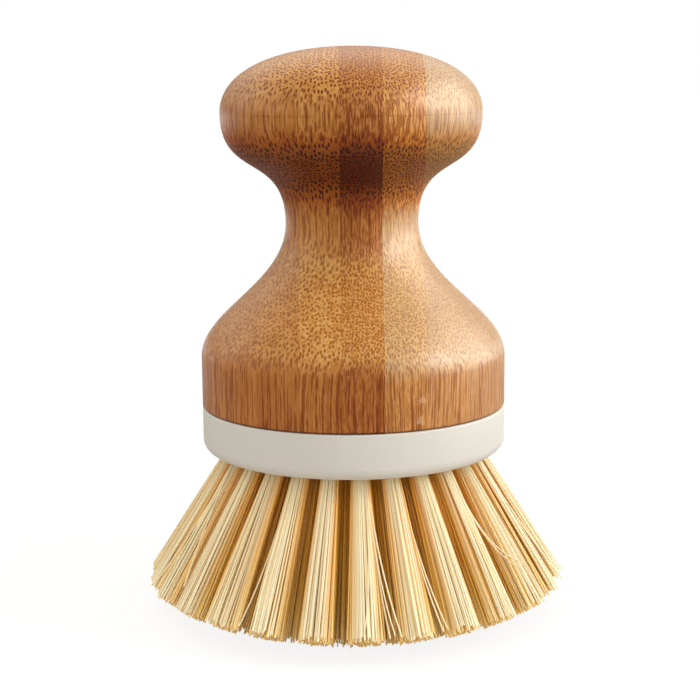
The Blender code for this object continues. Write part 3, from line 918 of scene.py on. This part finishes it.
def floor_paper():
    """Paper that is seen white, but throws light back only from close round the brush.

    In the lacquer it is mirrored as grey, lighter far behind and bright at the right.
    """
    material, shader, place = coating(
        "white_sweep",
        roughness=0.9,
        specular_ior_level=0.0,
        emission_strength=0.86,
    )
    camera_ray, glossy_ray, clear_ray = ray_kinds(material.node_tree)
    seen = camera_ray + glossy_ray + clear_ray
    near = place.distance((0.0, 0.0, 0.0)).step(0.105, 0.065)
    right = place.axis(0)
    behind = place.axis(1)
    bright = (right - behind).step(0.20, 0.50) * (0.4 * right + behind).step(0.00, 0.12)
    mirrored = behind.step(0.25, 0.50).mixed(grey(0.35), grey(1.30))
    glow = glossy_ray.mixed(seen.mixed(grey(0.0), grey(1.0)), mirrored)
    feed(
        shader,
        base_color=seen.mixed(near.mixed(grey(0.15), grey(0.80)), grey(0.15)),
        emission_color=(glossy_ray * bright).mixed(glow, grey(6.0)),
    )
    return material


def white_room():
    """A room that is seen white, lights the brush softly, and is mirrored with its windows."""
    world = bpy.data.worlds.new("white_room")
    world.use_nodes = True
    camera_ray, glossy_ray, clear_ray = ray_kinds(world.node_tree)
    heading = source(world.node_tree, "TexCoord", "Generated")
    right, behind, above = (heading.axis(index) for index in range(3))
    right_window = 9.0 * right.step(0.42, 0.80) * above.step(0.97, 0.72)
    right_window = right_window * behind.step(-0.75, -0.30)
    left_window = 1.2 * right.step(-0.5, -0.9) * above.step(-0.02, 0.15) * above.step(0.85, 0.55)
    windows = (right_window + left_window) * behind.step(0.75, 0.40)
    back_wall = behind.step(0.0, 0.7) * (0.45 + 1.10 * above.step(0.2, 0.5))
    mirrored = glossy_ray * (0.08 + back_wall + windows)
    fill = 0.29 + 0.88 * above.step(-0.4, 1.0) + 0.45 * behind.step(-0.60, -0.95)
    lighting = fill * (1.0 - camera_ray - glossy_ray - clear_ray)
    strength = camera_ray + mirrored + clear_ray + lighting
    tint = camera_ray.mixed((1.0, 0.98, 0.90, 1.0), grey(1.0))
    background = world.node_tree.nodes["Background"]
    world.node_tree.links.new(strength.socket, background.inputs["Strength"])
    world.node_tree.links.new(tint.socket, background.inputs["Color"])
    return world


floor_mesh = bpy.data.meshes.new("sweep")
corners = [(x * FLOOR_REACH, y * FLOOR_REACH, 0.0) for x, y in ((-1, -1), (1, -1), (1, 1), (-1, 1))]
floor_mesh.from_pydata(corners, [], [(0, 1, 2, 3)])
floor_mesh.materials.append(floor_paper())
floor = bpy.data.objects.new("sweep", floor_mesh)
bpy.context.scene.collection.objects.link(floor)
bpy.context.scene.world = white_room()


def soft_box(name, place, size, power, colour):
    """Hangs a rectangular lamp that is aimed at the brush's middle."""
    light = bpy.data.lights.new(name, "AREA")
    light.color = colour
    light.shape = "RECTANGLE"
    light.size, light.size_y = size
    light.energy = power
    lamp = bpy.data.objects.new(name, light)
    bpy.context.scene.collection.objects.link(lamp)
    lamp.location = place
    lamp.rotation_euler = (BRUSH_MIDDLE - Vector(place)).to_track_quat("-Z", "Y").to_euler()


soft_box("key_box", (0.52, -0.14, 0.32), (0.15, 0.28), 1.5, (0.92, 0.95, 1.0))
soft_box("side_box", (-0.50, 0.20, 0.34), (0.14, 0.36), 0.15, (1.0, 1.0, 1.0))

# Camera
# It stands 300 mm off, about 10 degrees above level, and leans half a degree.
# Its sensor and focal length are in millimetres.

LOOK = Vector((-0.57 * MM, 0.0, 47.7 * MM))
DISTANCE = 300.0 * MM
ELEVATION = math.radians(10.16)
LEAN = math.radians(0.508)
SENSOR = 36.0
FOCAL_LENGTH = 83.16

lens = bpy.data.cameras.new("camera")
lens.sensor_width = SENSOR
lens.lens = FOCAL_LENGTH
lens.clip_start = 0.01
camera = bpy.data.objects.new("camera", lens)
bpy.context.scene.collection.objects.link(camera)
level = Matrix.Rotation(math.pi / 2 - ELEVATION, 4, "X") @ Matrix.Rotation(-LEAN, 4, "Z")
back = Vector((0.0, -math.cos(ELEVATION), math.sin(ELEVATION)))
camera.matrix_world = Matrix.Translation(LOOK + back * DISTANCE) @ level
bpy.context.scene.camera = camera
bpy.context.scene.view_settings.view_transform = "Standard"
